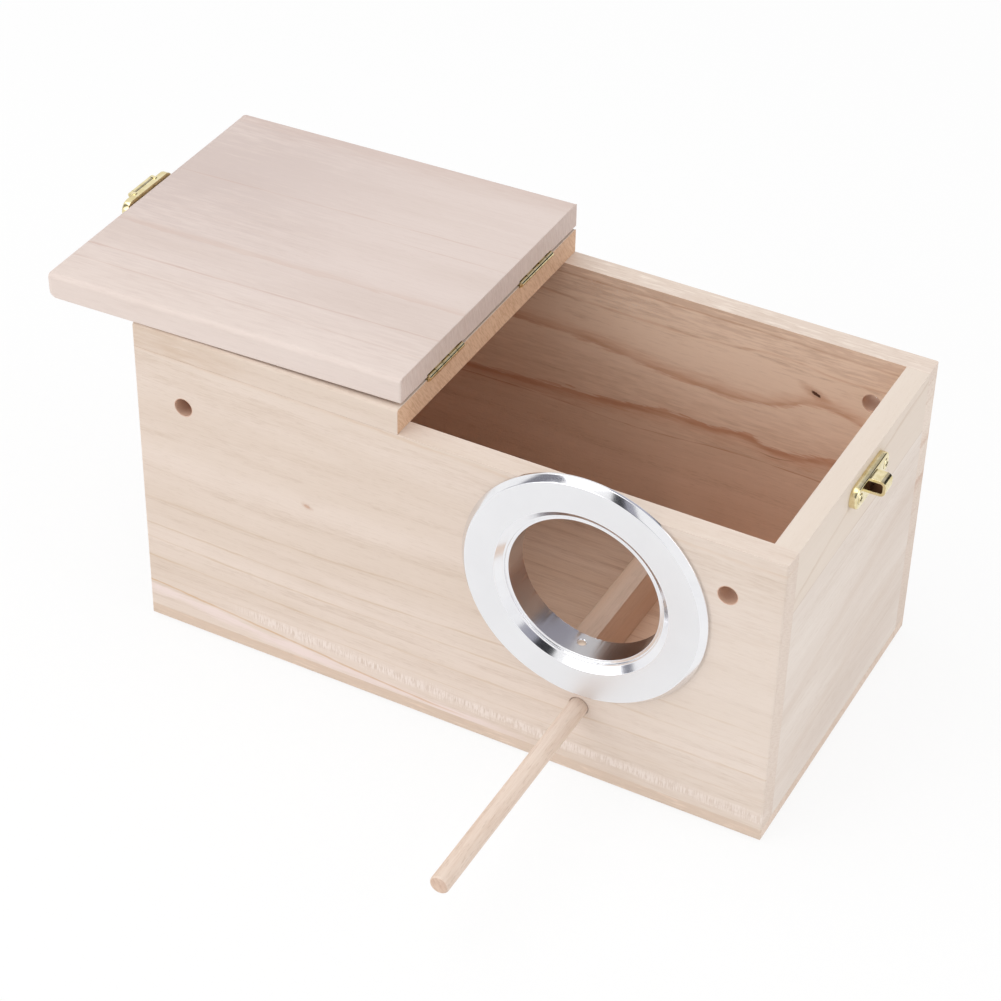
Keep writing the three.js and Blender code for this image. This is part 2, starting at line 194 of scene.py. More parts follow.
# Growth rings, fibres and pores of a board. Place is in mm: X along the grain, Y across the face, Z into it.
# The two numbers given to smooth are the levels between which a mark fades in, here and below
def makePlankGrain(shape):
    tree, given, out = group("plankGrain", [
        ("Place", "Vector", None), ("Heart Across", "Float", 0.0), ("Heart Depth", "Float", -60.0),
        ("Ring Spacing", "Float", 9.0), ("Wander", "Float", 6.0), ("Seed", "Float", 0.0),
    ], ["Rings", "Tone", "Fibre", "Pores", "Relief"])
    seeded = vectorCalc(tree, "ADD", given["Place"], scaled(tree, shape["offset"], given["Seed"]))

    def marks(size, detail, rough=0.5, output=0):
        return noise(tree, stretched(tree, seeded, *shape[size]), detail, rough, output)
    sweep, wave = centred(tree, marks("sweep", 1.0, output=1)), centred(tree, marks("wave", 2.0, output=1))
    drift = vectorCalc(tree, "ADD", sweep, vectorCalc(tree, "MULTIPLY", wave, (shape["waveShare"],) * 3))
    bent = split(tree, vectorCalc(tree, "ADD", given["Place"], scaled(tree, drift, given["Wander"])))
    across = calc(tree, "SUBTRACT", bent["Y"], given["Heart Across"])
    depth = calc(tree, "SUBTRACT", bent["Z"], given["Heart Depth"])
    turns = calc(tree, "DIVIDE", hypot(tree, across, depth), given["Ring Spacing"])
    uneven = noiseAlong(tree, calc(tree, "ADD", times(tree, turns, shape["yearPace"]), given["Seed"]))
    phase = calc(tree, "ADD", turns, times(tree, uneven, shape["unevenYears"]))
    year = calc(tree, "ADD", calc(tree, "FLOOR", phase), given["Seed"])
    strength = add(tree, "TexWhiteNoise", {"W": year}, noise_dimensions="1D").outputs["Value"]
    share = calc(tree, "FRACT", phase)  # a line darkens slowly through its year and ends sharply
    line = times(tree, smooth(tree, share, 0.35, 0.9), flip(tree, smooth(tree, share, 0.92, 1.0)))
    weight = calc(tree, "MULTIPLY_ADD", strength, *shape["yearRange"])
    rings = times(tree, line, weight, smooth(tree, marks("patch", 2.0), 0.25, 0.62))
    coarse, fine = marks("coarse", 3.0, 0.6), marks("fine", 2.0, 0.6)
    fibre = calc(tree, "ADD", times(tree, coarse, 0.6), times(tree, fine, 0.4))
    thick = calc(tree, "MULTIPLY_ADD", rings, shape["poresInLines"], marks("pore", 1.0))
    pores = smooth(tree, thick, 0.6, 0.74)
    raised = calc(tree, "ADD", fibre, times(tree, rings, 0.25))
    relief = calc(tree, "SUBTRACT", raised, times(tree, pores, 0.5))
    results = {"Rings": rings, "Fibre": fibre, "Pores": pores, "Relief": relief}
    for label, value in {**results, "Tone": marks("tone", 3.0, 0.55)}.items():
        tree.links.new(value, out[label])
    return tree


# The same for the stained lines and the bands of painted shade, and how much the seed grows from one to the
# next
streakShape = {"offset": (13.1, 41.9, 7.7), "ragged": (14, 1.6), "gap": (30, 3.5), "seedStep": 1.3}


# A stained line in the wood, or a band of painted shade. Distance is across the grain from its middle,
# positive above it
def makeStreak(shape):
    tree, given, out = group("streak", [
        ("Place", "Vector", None), ("Distance", "Float", 0.0), ("Above", "Float", 1.0),
        ("Below", "Float", 1.0), ("Breaks", "Float", 0.5), ("Seed", "Float", 0.0),
    ], ["Mask"])
    seeded = vectorCalc(tree, "ADD", given["Place"], scaled(tree, shape["offset"], given["Seed"]))
    ragged = noise(tree, stretched(tree, seeded, *shape["ragged"]), 3.0, 0.6)
    width = calc(tree, "ADD", given["Above"], given["Below"])
    wavy = calc(tree, "ADD", given["Distance"], times(tree, calc(tree, "SUBTRACT", ragged, 0.5), width))
    upper = flip(tree, smooth(tree, wavy, 0.0, given["Above"]))
    lower = flip(tree, smooth(tree, times(tree, wavy, -1.0), 0.0, given["Below"]))
    gaps = smooth(tree, noise(tree, stretched(tree, seeded, *shape["gap"]), 2.0), 0.42, 0.62)
    kept = flip(tree, times(tree, given["Breaks"], gaps))
    tree.links.new(times(tree, upper, lower, kept), out["Mask"])
    return tree


# Fine marks of a lathe or a polishing wheel, and the faint cloudiness of handled metal
def makeMetalWear():
    tree, given, out = group("metalWear", [
        ("Place", "Vector", None), ("Line Width", "Float", 0.12), ("Cloud Size", "Float", 6.0),
    ], ["Lines", "Cloud"])
    parts = split(tree, given["Place"])
    radius = hypot(tree, parts["X"], parts["Z"])
    track = calc(tree, "DIVIDE", calc(tree, "ADD", radius, parts["Y"]), given["Line Width"])
    shrunk = scaled(tree, given["Place"], calc(tree, "DIVIDE", 1.0, given["Cloud Size"]))
    tree.links.new(noiseAlong(tree, track), out["Lines"])
    tree.links.new(noise(tree, shrunk, 3.0), out["Cloud"])
    return tree


plankGrain, streak, metalWear = makePlankGrain(grainShape), makeStreak(streakShape), makeMetalWear()
print("node groups made")

lineSpan = (-200, 200)  # mm: the lines on a board are drawn within this range, along it and across it


# The height of a line at each place along the board, from its (along, across) points in mm
def lineHeight(tree, along, points):
    low, high = lineSpan
    span = high - low
    made = add(tree, "FloatCurve", {"Value": calc(tree, "DIVIDE", calc(tree, "SUBTRACT", along, low), span)})
    curve = made.mapping.curves[0]
    stops = [(low, points[0][1]), *points, (high, points[-1][1])]
    shares = [((x - low) / span, (y - low) / span) for x, y in stops]
    curve.points[0].location, curve.points[1].location = shares[0], shares[-1]
    for share in shares[1:-1]:
        curve.points.new(*share)
    made.mapping.update()
    return calc(tree, "ADD", times(tree, made.outputs[0], span), low)


# A knot bends the grain so many times further along than across. Its outline is ragged, and it lies lower
knotShape = {"stretch": 1.8, "pace": (0.7, 0.7, 0.7), "ragged": (1.4, 1.4, 0), "depth": 2.0}


def goRound(tree, knots, spot, parts):
    flow = spot
    for knot in knots:
        (x, y), reach = knot["at"], knot["reach"]
        along = calc(tree, "DIVIDE", calc(tree, "SUBTRACT", parts["X"], x), reach * knotShape["stretch"])
        over = calc(tree, "DIVIDE", calc(tree, "SUBTRACT", parts["Y"], y), reach)
        far = length(tree, join(tree, along, over, 0.0))
        near = calc(tree, "POWER", math.e, times(tree, far, far, -1.0))
        flow = vectorCalc(tree, "ADD", flow, join(tree, 0.0, times(tree, near, knot["push"]), 0.0))
    return flow


def addStreaks(tree, look, spot, parts, colour, height):
    for i, line in enumerate(look["streaks"]):
        distance = calc(tree, "SUBTRACT", parts["Y"], lineHeight(tree, parts["X"], line["points"]))
        mask = useGroup(tree, streak, {
            "Place": spot, "Distance": distance, "Above": line["above"], "Below": line["below"],
            "Breaks": line["breaks"], "Seed": look["seed"] + i * streakShape["seedStep"]})["Mask"]
        if "reach" in line:  # it fades out past these places along the board
            start, end, fade = line["reach"]
            mask = times(tree, mask, smooth(tree, parts["X"], start - fade, start + fade),
                         flip(tree, smooth(tree, parts["X"], end - fade, end + fade)))
        colour = tint(tree, times(tree, mask, line["amount"]), colour, line["colour"])
        if "chatter" in line:  # small torn marks across the grain, as a blunt planer leaves
            marks = noise(tree, stretched(tree, spot, *look["chatterSize"]), 2.0, 0.6)
            torn = times(tree, mask, smooth(tree, marks, 0.44, 0.62))
            colour = tint(tree, times(tree, torn, line["chatter"]), colour, look["late"])
            height = calc(tree, "SUBTRACT", height, torn)
    return colour, height


def addKnots(tree, look, spot, colour, height):
    for knot in look["knots"]:
        x, y = knot["at"]
        own = turned(tree, vectorCalc(tree, "SUBTRACT", spot, (x, y, 0)), "Z", knot["turn"])
        shake = noise(tree, vectorCalc(tree, "MULTIPLY", spot, knotShape["pace"]), 2.0, output=1)
        shift = vectorCalc(tree, "MULTIPLY", centred(tree, shake), knotShape["ragged"])
        wide, high = knot["size"]
        shaky = vectorCalc(tree, "ADD", own, shift)
        far = length(tree, vectorCalc(tree, "MULTIPLY", shaky, (1 / wide, 1 / high, 0)))
        halo = flip(tree, smooth(tree, far, 0.6, knot["halo"]))
        core = flip(tree, smooth(tree, far, 0.75, 1.1))
        colour = tint(tree, times(tree, halo, knot["stain"]), colour, look["stain"])
        colour = tint(tree, times(tree, core, knot["dark"]), colour, knot["colour"])
        height = calc(tree, "SUBTRACT", height, times(tree, core, knotShape["depth"]))
    return colour, height


def timber(name, look):
    made, tree = newMaterial(name)
    places = split(tree, add(tree, "TexCoord").outputs["Object"])
    ordered = join(tree, *(places[axis.upper()] for axis in look["axes"]))
    spot = turned(tree, inMm(tree, ordered), "Z", look["turn"])  # X runs along the grain
    parts = split(tree, spot)
    grain = useGroup(tree, plankGrain, {
        "Place": goRound(tree, look["knots"], spot, parts), "Heart Across": look["heart"][0],
        "Heart Depth": look["heart"][1], "Ring Spacing": look["spacing"], "Wander": look["wander"],
        "Seed": look["seed"]})
    colour = tint(tree, smooth(tree, grain["Tone"], 0.35, 0.65), look["pale"], look["warm"])
    broken = calc(tree, "MULTIPLY_ADD", smooth(tree, grain["Fibre"], 0.38, 0.62), 0.75, 0.25)
    colour = tint(tree, times(tree, grain["Rings"], broken, look["rings"]), colour, look["late"])
    threads = smooth(tree, grain["Fibre"], 0.4, 0.68)
    colour = tint(tree, times(tree, threads, look["fibre"]), colour, look["late"])
    colour = tint(tree, times(tree, grain["Pores"], look["pores"]), colour, look["deep"])
    for strip in look["strips"]:  # a glued strip of another tone, above its line
        above = calc(tree, "SUBTRACT", parts["Y"], lineHeight(tree, parts["X"], strip["points"]))
        covered = times(tree, smooth(tree, above, -look["glueFade"], look["glueFade"]), strip["amount"])
        colour = tint(tree, covered, colour, strip["colour"])
    colour, height = addStreaks(tree, look, spot, parts, colour, grain["Relief"])
    colour, height = addKnots(tree, look, spot, colour, height)
    normal = split(tree, add(tree, "TexCoord").outputs["Normal"])
    sawn = smooth(tree, calc(tree, "ABSOLUTE", normal[look["axes"][0].upper()]), 0.75, 0.95)  # end grain
    slanted = vectorCalc(tree, "MULTIPLY", turned(tree, spot, "X", look["endSlant"]), look["endScale"])
    speckle = noise(tree, slanted, 3.0, 0.65)
    endColour = tint(tree, smooth(tree, speckle, 0.38, 0.66), look["endPale"], look["endDark"])
    colour = tint(tree, times(tree, sawn, look["endAmount"]), colour, endColour)
    if "inside" in look:  # painted shade: the faces in the box are tinted warmer and darker, deeper towards the floor, for the shade and bounced light inside it
        axis, side = look["inside"]
        inner = smooth(tree, times(tree, normal[axis], side), 0.6, 0.9)
        above = split(tree, add(tree, "TexCoord").outputs["Object"])["Z"]
        tone = tint(tree, smooth(tree, above, *look["insideShadeHeights"]), look["insideShadeLow"], look["insideShadeTop"])
        colour = tint(tree, inner, colour, tone, "MULTIPLY")
    if "dust" in look:  # sawdust left in a corner
        dust = look["dust"]
        near = flip(tree, smooth(tree, farFrom(tree, spot, *dust["at"], *dust["size"]), 0.3, 1.0))
        specks = noise(tree, vectorCalc(tree, "MULTIPLY", spot, dust["pace"]), 1.0)
        thrown = times(tree, near, smooth(tree, specks, 0.62, 0.72), dust["amount"])
        colour = tint(tree, thrown, colour, look["pale"])
    for hole in look["holes"]:  # the drilled walls of a hole get a colour of their own: painted shade in the vents, painted light in the ring's bore
        near, far = (hole["radius"] + fade for fade in look["drillFade"])
        wall = flip(tree, smooth(tree, farFrom(tree, spot, *hole["at"]), near, far))
        colour = tint(tree, wall, colour, hole["colour"])
    height = calc(tree, "ADD", height, times(tree, speckle, sawn, look["endRelief"]))
    bump = add(tree, "Bump", {"Strength": look["bump"], "Distance": look["bumpDepth"] * mm, "Height": height})
    rough = calc(tree, "MULTIPLY_ADD", grain["Fibre"], look["roughRange"], look["rough"])
    finish(tree, add(tree, "BsdfPrincipled", {
        "Base Color": colour, "Roughness": rough, "Specular IOR Level": look["shine"],
        "Normal": bump.outputs[0]}))
    return made


# Above and below are the line's width in mm on both sides of its points. More may give its reach
# along the board, as (start, end, fade), and the chatter of a planer on it
def stain(points, above, below, amount, colour, breaks=0.5, **more):
    return {"points": points, "above": above, "below": below, "amount": amount, "colour": paint(*colour),
            "breaks": breaks, **more}


# Colours of plain wood, how strongly its marks show, and lengths in mm, but the heights of the painted inside
# shade in m
bareWood = {
    "pale": paint(227, 211, 199), "warm": paint(221, 204, 190), "late": paint(196, 172, 152),
    "deep": paint(172, 145, 122), "stain": paint(176, 122, 84),
    "endPale": paint(226, 210, 198), "endDark": paint(212, 193, 179), "endAmount": 0.5, "endSlant": 55,
    "endScale": (1 / 5, 1 / 5, 1 / 0.6), "endRelief": 1.5,
    # painted shade: warm multiply tints for the faces inside the box, light at the top and darker low
    "insideShadeTop": paint(255, 241, 229), "insideShadeLow": paint(249, 227, 214), "insideShadeHeights": (0.01, 0.15),
    "rings": 0.4, "fibre": 0.12, "pores": 0.12, "rough": 0.52, "roughRange": 0.2, "shine": 0.3,
    "bump": 0.35, "bumpDepth": 0.15, "glueFade": 0.3, "drillFade": (0.15, 0.4),
    "heart": (0, -60), "spacing": 9.0, "wander": 6.0, "seed": 0.0, "turn": 0, "chatterSize": (0.6, 5.0),
    "strips": [], "streaks": [], "knots": [], "holes": [],
}

# painted shade: the walls of the vent holes are a darker brown
vent = {"radius": 4.25, "colour": paint(214, 181, 160)}
ventHoles = [{**vent, "at": (-126.2, 122.8)}, {**vent, "at": (126.2, 122.8)}]
# painted light: the wooden bore behind the ring is a light pink
ringBore = {"at": (64.4, 100.7), "radius": 35.6, "colour": paint(255, 232, 212)}

frontLook = {
    **bareWood, "axes": "xzy", "heart": (122, -120), "spacing": 9.5, "wander": 7.0, "seed": 3.0,
    "rings": 0.34, "inside": ("Y", 1.0), "holes": [*ventHoles, ringBore],
    "streaks": [
        stain([(-150, 68), (-60, 67.5), (-10, 70.5), (150, 66)], 0.8, 0.6, 0.4, (196, 166, 134),
              reach=(-150, 5, 12)),
        stain([(-150, 53.5), (-60, 52.5), (25, 55.5), (150, 58)], 0.7, 0.7, 0.45, (196, 166, 132)),
        stain([(-150, 45.5), (-90, 44), (25, 45.5), (150, 47)], 0.7, 0.7, 0.45, (198, 168, 132)),
        stain([(-150, 35), (-60, 33), (10, 32.5), (150, 35)], 0.7, 0.8, 0.5, (198, 166, 128)),
        stain([(-150, 24), (-60, 23.5), (60, 22), (150, 22.5)], 0.5, 0.6, 0.3, (198, 168, 134)),
        stain([(-150, 17), (-70, 11), (150, 8)], 3.0, 5.0, 0.9, (236, 219, 214), 0.1, reach=(-160, 30, 25)),
        stain([(-150, 20.8), (-115, 18), (-70, 14.2), (-40, 11.2), (10, 8.4), (150, 7)],
              0.6, 0.9, 0.75, (206, 166, 120), 0.2, reach=(-170, 5, 14)),
        stain([(-110, 21.5), (-60, 19), (30, 15), (150, 13)], 4.6, 4.2, 0.9, (238, 225, 217), 0.05,
              reach=(-98, 170, 16), chatter=0.55),
        stain([(-150, 70), (150, 70)], 130.0, 130.0, 0.42, (236, 224, 214), 0.0, reach=(80, 400, 60)),
        stain([(-60, 146), (150, 141)], 0.8, 1.6, 0.3, (205, 172, 138)),
    ],
    "knots": [{"at": (-66, 93), "size": (1.6, 0.8), "reach": 4, "push": 1.0, "turn": 15,
               "halo": 2.6, "stain": 0.3, "dark": 0.35, "colour": paint(186, 128, 88)}],
}

upperBand = [(-150, 105), (-22, 110.5), (5, 108.5), (30, 105.4), (55, 104.1), (67, 104.2), (78, 105.5),
             (90, 109.2), (98, 112.8), (109, 113.2), (122, 109.7), (150, 108)]
backLook = {
    **bareWood, "axes": "xzy", "heart": (170, 40), "spacing": 11.0, "wander": 9.0, "seed": 8.0, "rings": 0.3,
    "inside": ("Y", -1.0), "fibre": 0.18, "pores": 0.2, "holes": ventHoles,
    "dust": {"at": (8, 138), "size": (40, 16), "pace": (1.5, 1.5, 1.5), "amount": 0.7},
    "streaks": [
        stain([(-22, 124), (60, 124), (150, 124)], 25.0, 60.0, 0.75, (246, 234, 222), 0.0),
        stain([(-22, 141.8), (60, 142), (140, 140.5)], 0.6, 0.7, 0.5, (186, 142, 104)),
        stain([(-22, 130), (50, 129.5), (88, 132.5), (110, 129.8), (150, 131)],
              0.8, 1.2, 0.35, (196, 148, 108)),
        stain(upperBand, 8.0, 1.6, 0.42, (196, 144, 104), 0.25),
        stain(upperBand, 2.4, 1.2, 0.36, (176, 118, 80)),
        stain([(-150, 74), (-22, 79.8), (3, 81.6), (28, 84.7), (53, 85), (70, 86), (82, 83.5), (94, 83.7),
               (112, 86.6), (150, 90)], 0.9, 10.0, 0.5, (190, 132, 92), 0.2),
        stain([(-150, 73), (-22, 79), (3, 80.8), (28, 83.9), (53, 84.2), (70, 85.2), (82, 82.7), (94, 82.9),
               (112, 85.8), (150, 89)], 1.0, 3.4, 0.42, (170, 108, 70), 0.4),
        stain([(-150, 70), (-22, 72.2), (14, 71), (38, 72.2), (60, 74), (150, 72)],
              0.5, 0.6, 0.5, (168, 108, 70), 0.7),
        stain([(75, 79.5), (84, 78.4), (95, 80)], 0.5, 0.5, 0.7, (138, 84, 54), reach=(78, 92, 4)),
    ],
    "knots": [{"at": (100.9, 118.7), "size": (2.5, 0.85), "reach": 9, "push": 5.0, "turn": 22,
               "halo": 4.5, "stain": 0.45, "dark": 0.95, "colour": paint(74, 40, 26)}],
}

lidLook = {
    **bareWood, "axes": "xyz", "turn": -1.3, "heart": (20, -150), "spacing": 12.0, "wander": 8.0,
    "seed": 21.0, "rings": 0.26, "pores": 0.08, "pale": paint(219, 204, 197), "warm": paint(213, 197, 189),
    "late": paint(190, 167, 158), "deep": paint(176, 150, 138),
    "endPale": paint(220, 203, 195), "endDark": paint(207, 188, 179), "endAmount": 0.75, "endSlant": 80,
    "streaks": [
        # painted shade: a darker band over the lid's left, back part
        stain([(-200, 30), (-60, 60), (0, 79)], 80.0, 90.0, 0.8, (203, 187, 181), 0.0,
              reach=(-300, -115, 60)),
        stain([(-200, 79), (200, 79)], 9.0, 16.0, 0.35, (200, 176, 166), 0.1),
        stain([(-200, -82), (200, -82)], 50.0, 30.0, 0.55, (230, 216, 208), 0.0),
        stain([(-200, 24), (-120, 25), (0, 27)], 0.6, 0.7, 0.4, (196, 166, 152)),
        stain([(-200, 14), (0, 14.4)], 0.5, 0.6, 0.35, (196, 166, 152), reach=(-75, 20, 18)),
        stain([(-200, -24.5), (-100, -24), (0, -23)], 5.0, 0.6, 0.4, (202, 174, 160), 0.25),
        stain([(-200, -46.5), (-100, -45.5), (0, -44)], 1.0, 0.5, 0.5, (192, 160, 146), 0.35),
        stain([(-200, -57.5), (0, -58.5)], 0.7, 0.5, 0.35, (196, 166, 152)),
    ],
}

topLook = {
    **bareWood, "axes": "xyz", "heart": (-10, -60), "spacing": 8.0, "wander": 7.0, "seed": 33.0,
    # the end grain's orange-brown is partly its own tone and partly painted shade of the hinge edge
    "rings": 0.3, "inside": ("Z", -1.0), "endPale": paint(223, 187, 157), "endDark": paint(204, 164, 132),
    "endAmount": 0.95,
    "streaks": [
        # painted shade: a brown band along the front edge's left part, where the lid shades it
        stain([(-200, -82), (200, -82)], 9.0, 5.0, 0.6, (200, 174, 150), 0.2, reach=(-170, -100, 22)),
    ],
}

glueLine = [(-80, 115.8), (-35, 116.8), (40, 116.6), (80, 117.2)]
endLook = {
    **bareWood, "axes": "yzx", "heart": (40, -90), "spacing": 15.0, "wander": 16.0, "seed": 44.0,
    "rings": 0.25, "pale": paint(232, 221, 212), "warm": paint(225, 212, 202), "inside": ("X", -1.0),
    "strips": [{"points": glueLine, "amount": 0.6, "colour": paint(226, 211, 196)}],
    "streaks": [
        stain(glueLine, 0.5, 0.5, 0.6, (192, 166, 146)),
        stain([(-80, 121), (-30, 130), (40, 141)], 0.8, 2.5, 0.4, (200, 176, 154), 0.3),
        stain([(-80, 60), (0, 76), (80, 90)], 4.0, 10.0, 0.35, (214, 196, 182), 0.2),
        stain([(-80, 22), (0, 38), (80, 52)], 6.0, 8.0, 0.35, (216, 198, 184), 0.2),
        stain([(-80, 29.5), (80, 28.5)], 0.5, 0.5, 0.3, (204, 184, 168), 0.6),
    ],
}

floorLook = {
    **bareWood, "axes": "xyz", "heart": (-10, -25), "spacing": 5.5, "wander": 6.0, "seed": 55.0,
    "rings": 0.75, "fibre": 0.25,
    "pale": paint(244, 224, 208), "warm": paint(236, 213, 194), "late": paint(190, 154, 128),
    # painted shade: the floor's upper faces are tinted a little warmer
    "inside": ("Z", 1.0), "insideShadeTop": paint(255, 250, 245), "insideShadeLow": paint(255, 250, 245),
    "streaks": [stain([(-200, -79), (200, -79)], 1.5, 4.0, 0.7, (208, 188, 171), 0.0)],
}

dividerLook = {
    **bareWood, "axes": "yzx", "heart": (0, -40), "spacing": 9.0, "wander": 5.0, "seed": 66.0, "rings": 0.4,
    "pale": paint(228, 206, 190), "warm": paint(220, 190, 166),
}

perchLook = {
    **bareWood, "axes": "yxz", "heart": (40, 10), "spacing": 3.5, "wander": 2.0, "seed": 77.0, "rings": 0.3,
    "fibre": 0.3, "pores": 0.25,
    "pale": paint(231, 213, 199), "warm": paint(222, 200, 183), "late": paint(198, 166, 142),
    "endPale": paint(222, 190, 168), "endDark": paint(190, 150, 126),
}

boards = {
    "front_wall": ("frontTimber", frontLook), "back_wall": ("backTimber", backLook),
    "lid": ("lidTimber", lidLook), "fixed_top": ("topTimber", topLook),
    "left_end": ("leftTimber", {**endLook, "seed": 48.0, "inside": ("X", 1.0)}),
    "right_end": ("rightTimber", endLook), "floor_board": ("floorTimber", floorLook),
    "nest_divider": ("dividerTimber", dividerLook), "perch": ("perchTimber", perchLook),
}


def dress(name, material):
    slots = nodes[name].data.materials
    slots.clear()
    slots.append(material)


softEdges = {  # mm, steps, and the degrees between two faces from which their edge is rounded
    "board": {"width": 0.35, "segments": 2, "angle": 30},
    "plate": {"width": 0.25, "segments": 3, "angle": 35},
    "small": {"width": 0.1, "segments": 2, "angle": 35},
}
welding = {"reach": 1e-6, "flat": 0.5}  # joins points this near (m) and merges faces this flat (degrees)


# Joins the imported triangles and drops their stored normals, so that the bevel after it can shade the shape.
# The two shading nodes smooth the faces, then the edges
def makeWeld():
    tree = bpy.data.node_groups.new("weldPacked", "GeometryNodeTree")
    for way in ("INPUT", "OUTPUT"):
        tree.interface.new_socket("Geometry", in_out=way, socket_type="NodeSocketGeometry")
    shape = tree.nodes.new("NodeGroupInput").outputs[0]
    for kind, settings in (
        ("RemoveAttribute", {"Name": "custom_normal"}), ("MergeByDistance", {"Distance": welding["reach"]}),
        ("SetShadeSmooth", {"Shade Smooth": True}), ("SetShadeSmooth", {"Shade Smooth": True}),
    ):
        made = tree.nodes.new("GeometryNode" + kind)
        tree.links.new(shape, made.inputs[0])
        for key, value in settings.items():
            made.inputs[key].default_value = value
        shape = made.outputs[0]
    made.domain = "EDGE"
    tree.links.new(shape, tree.nodes.new("NodeGroupOutput").inputs[0])
    return tree


weldPacked = makeWeld()


# A welded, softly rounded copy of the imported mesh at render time. The mesh itself stays as it is
def soften(name, edge):
    body = nodes[name]
    body.modifiers.new("weld", "NODES").node_group = weldPacked
    planar = body.modifiers.new("planar", "DECIMATE")
    planar.decimate_type = "DISSOLVE"
    planar.angle_limit = math.radians(welding["flat"])
    bevel = body.modifiers.new("bevel", "BEVEL")
    bevel.width = edge["width"] * mm
    bevel.segments = edge["segments"]
    bevel.limit_method = "ANGLE"
    bevel.angle_limit = math.radians(edge["angle"])
    bevel.harden_normals = True
    bevel.use_clamp_overlap = True


def bake(piece):  # a piece's modifiers become its mesh
    bpy.context.view_layer.update()
    finished = bpy.data.meshes.new_from_object(piece.evaluated_get(bpy.context.evaluated_depsgraph_get()))
    piece.modifiers.clear()
    piece.data = finished


def cutAway(piece, work):  # takes a closed shape out of a piece
    cutter = newObject("cutter", newMesh("cutter", work))
    cut = piece.modifiers.new("cut", "BOOLEAN")
    cut.operation, cut.solver, cut.object = "DIFFERENCE", "EXACT", cutter
    bake(piece)
    bpy.data.objects.remove(cutter)


# The hinges' axis in mm, and the beds cut for them: each reaches along the box and to both sides of its
# centre, and lies this deep. The barrels lie in grooves of their own
hingeFrame = {
    "x": -21.5, "z": 159.2, "restTurn": 179.45, "centres": (-40, 40),
    "bedReach": 10.3, "bedHalf": 14.6, "bedDepth": 1.8, "barrel": 1.55, "barrelSides": 32,
}
# The two halves of the top in mm, each edge with its own rounding. An edge is named by the sides it joins.
# At its free end the lid has drifted to the front and is shorter, by these amounts at its front and back
topBoards = {
    "lidBoard": {
        "node": "lid", "body": "lid", "slot": "lid_wood", "finish": "lidTimber", "hinged": True, "side": 1,
        "low": (0.4, -76.2, -12.4), "high": (171.5, 79, -0.7), "drift": (-4.0, -3.9), "short": (-0.1, 0.0),
        "rounds": {"x+ z-": 4.4, "x+ z+": 5.0, "y- z-": 2.4, "y+ z-": 1.8, "y- z+": 0.6, "y+ z+": 0.6,
                   "x+ y-": 5.0, "x+ y+": 1.5, "x- y-": 1.2, "x- z-": 0.4, "x- z+": 0.3, "x- y+": 0.3},
    },
    "topBoard": {
        "node": "fixed_top", "body": "box", "slot": "box_wood", "finish": "topTimber", "hinged": False,
        "side": -1, "low": (-150, -79, 146.5), "high": (-21.9, 79, 158.5),
        "rounds": {"x- z+": 1.6, "y- z+": 1.6, "y+ z+": 1.6, "x- y-": 1.0, "x- y+": 1.0, "x+ z+": 0.3,
                   "x+ y-": 0.4, "x+ y+": 0.4, "x- z-": 0.2, "y- z-": 0.2, "y+ z-": 0.2, "x+ z-": 0.2},
    },
}
roundSteps, boardSharp = 7, 32  # the steps of each rounding, and the degrees from which an edge shows sharp


def roundedBlock(name, shape):
    low, high = Vector(shape["low"]), Vector(shape["high"])
    middle, size = (low + high) / 2, high - low
    work = bmesh.new()
    bmesh.ops.create_cube(work, size=1.0)
    weights = work.edges.layers.float.new("bevel_weight_edge")
    most = max(shape["rounds"].values())
    for edge in work.edges:
        centre = (edge.verts[0].co + edge.verts[1].co) / 2
        sides = [axis + ("+" if value > 0 else "-") for axis, value in zip("xyz", centre) if abs(value) > 0.1]
        edge[weights] = shape["rounds"][" ".join(sides)] / most
    for vert in work.verts:
        vert.co = Vector([(middle[i] + vert.co[i] * size[i]) * mm for i in range(3)])
    board = newObject(name, newMesh(name, work))
    bevel = board.modifiers.new("bevel", "BEVEL")
    bevel.limit_method, bevel.offset_type = "WEIGHT", "OFFSET"
    bevel.width, bevel.segments = most * mm, roundSteps
    bake(board)
    return board


def skew(board, shape):  # the lid's free end drifts and shortens
    low, high = Vector(shape["low"]), Vector(shape["high"])
    for vert in board.data.vertices:
        along, back = vert.co.x / (high.x * mm), (vert.co.y / mm - low.y) / (high - low).y
        for axis, (front, rear) in ((1, shape["drift"]), (0, shape["short"])):
            vert.co[axis] += along * (front + (rear - front) * back) * mm


def addBed(cut, y, side):
    reach, depth = hingeFrame["bedReach"], hingeFrame["bedDepth"]
    made = bmesh.ops.create_cube(cut, size=1.0)["verts"]
    scale = Matrix.Diagonal((reach * mm, 2 * hingeFrame["bedHalf"] * mm, (1 + depth) * mm, 1))
    spot = Matrix.Translation((side * reach / 2 * mm, y * mm, (1 - depth) / 2 * mm))
    bmesh.ops.transform(cut, matrix=spot @ scale, verts=made)


def addGroove(cut, y):
    radius = hingeFrame["barrel"] * mm
    made = bmesh.ops.create_cone(cut, cap_ends=True, segments=hingeFrame["barrelSides"], radius1=radius,
                                 radius2=radius, depth=2 * hingeFrame["bedHalf"] * mm)["verts"]
    spot = Matrix.Translation((0, y * mm, 0)) @ Matrix.Rotation(math.pi / 2, 4, "X")
    bmesh.ops.transform(cut, matrix=spot, verts=made)


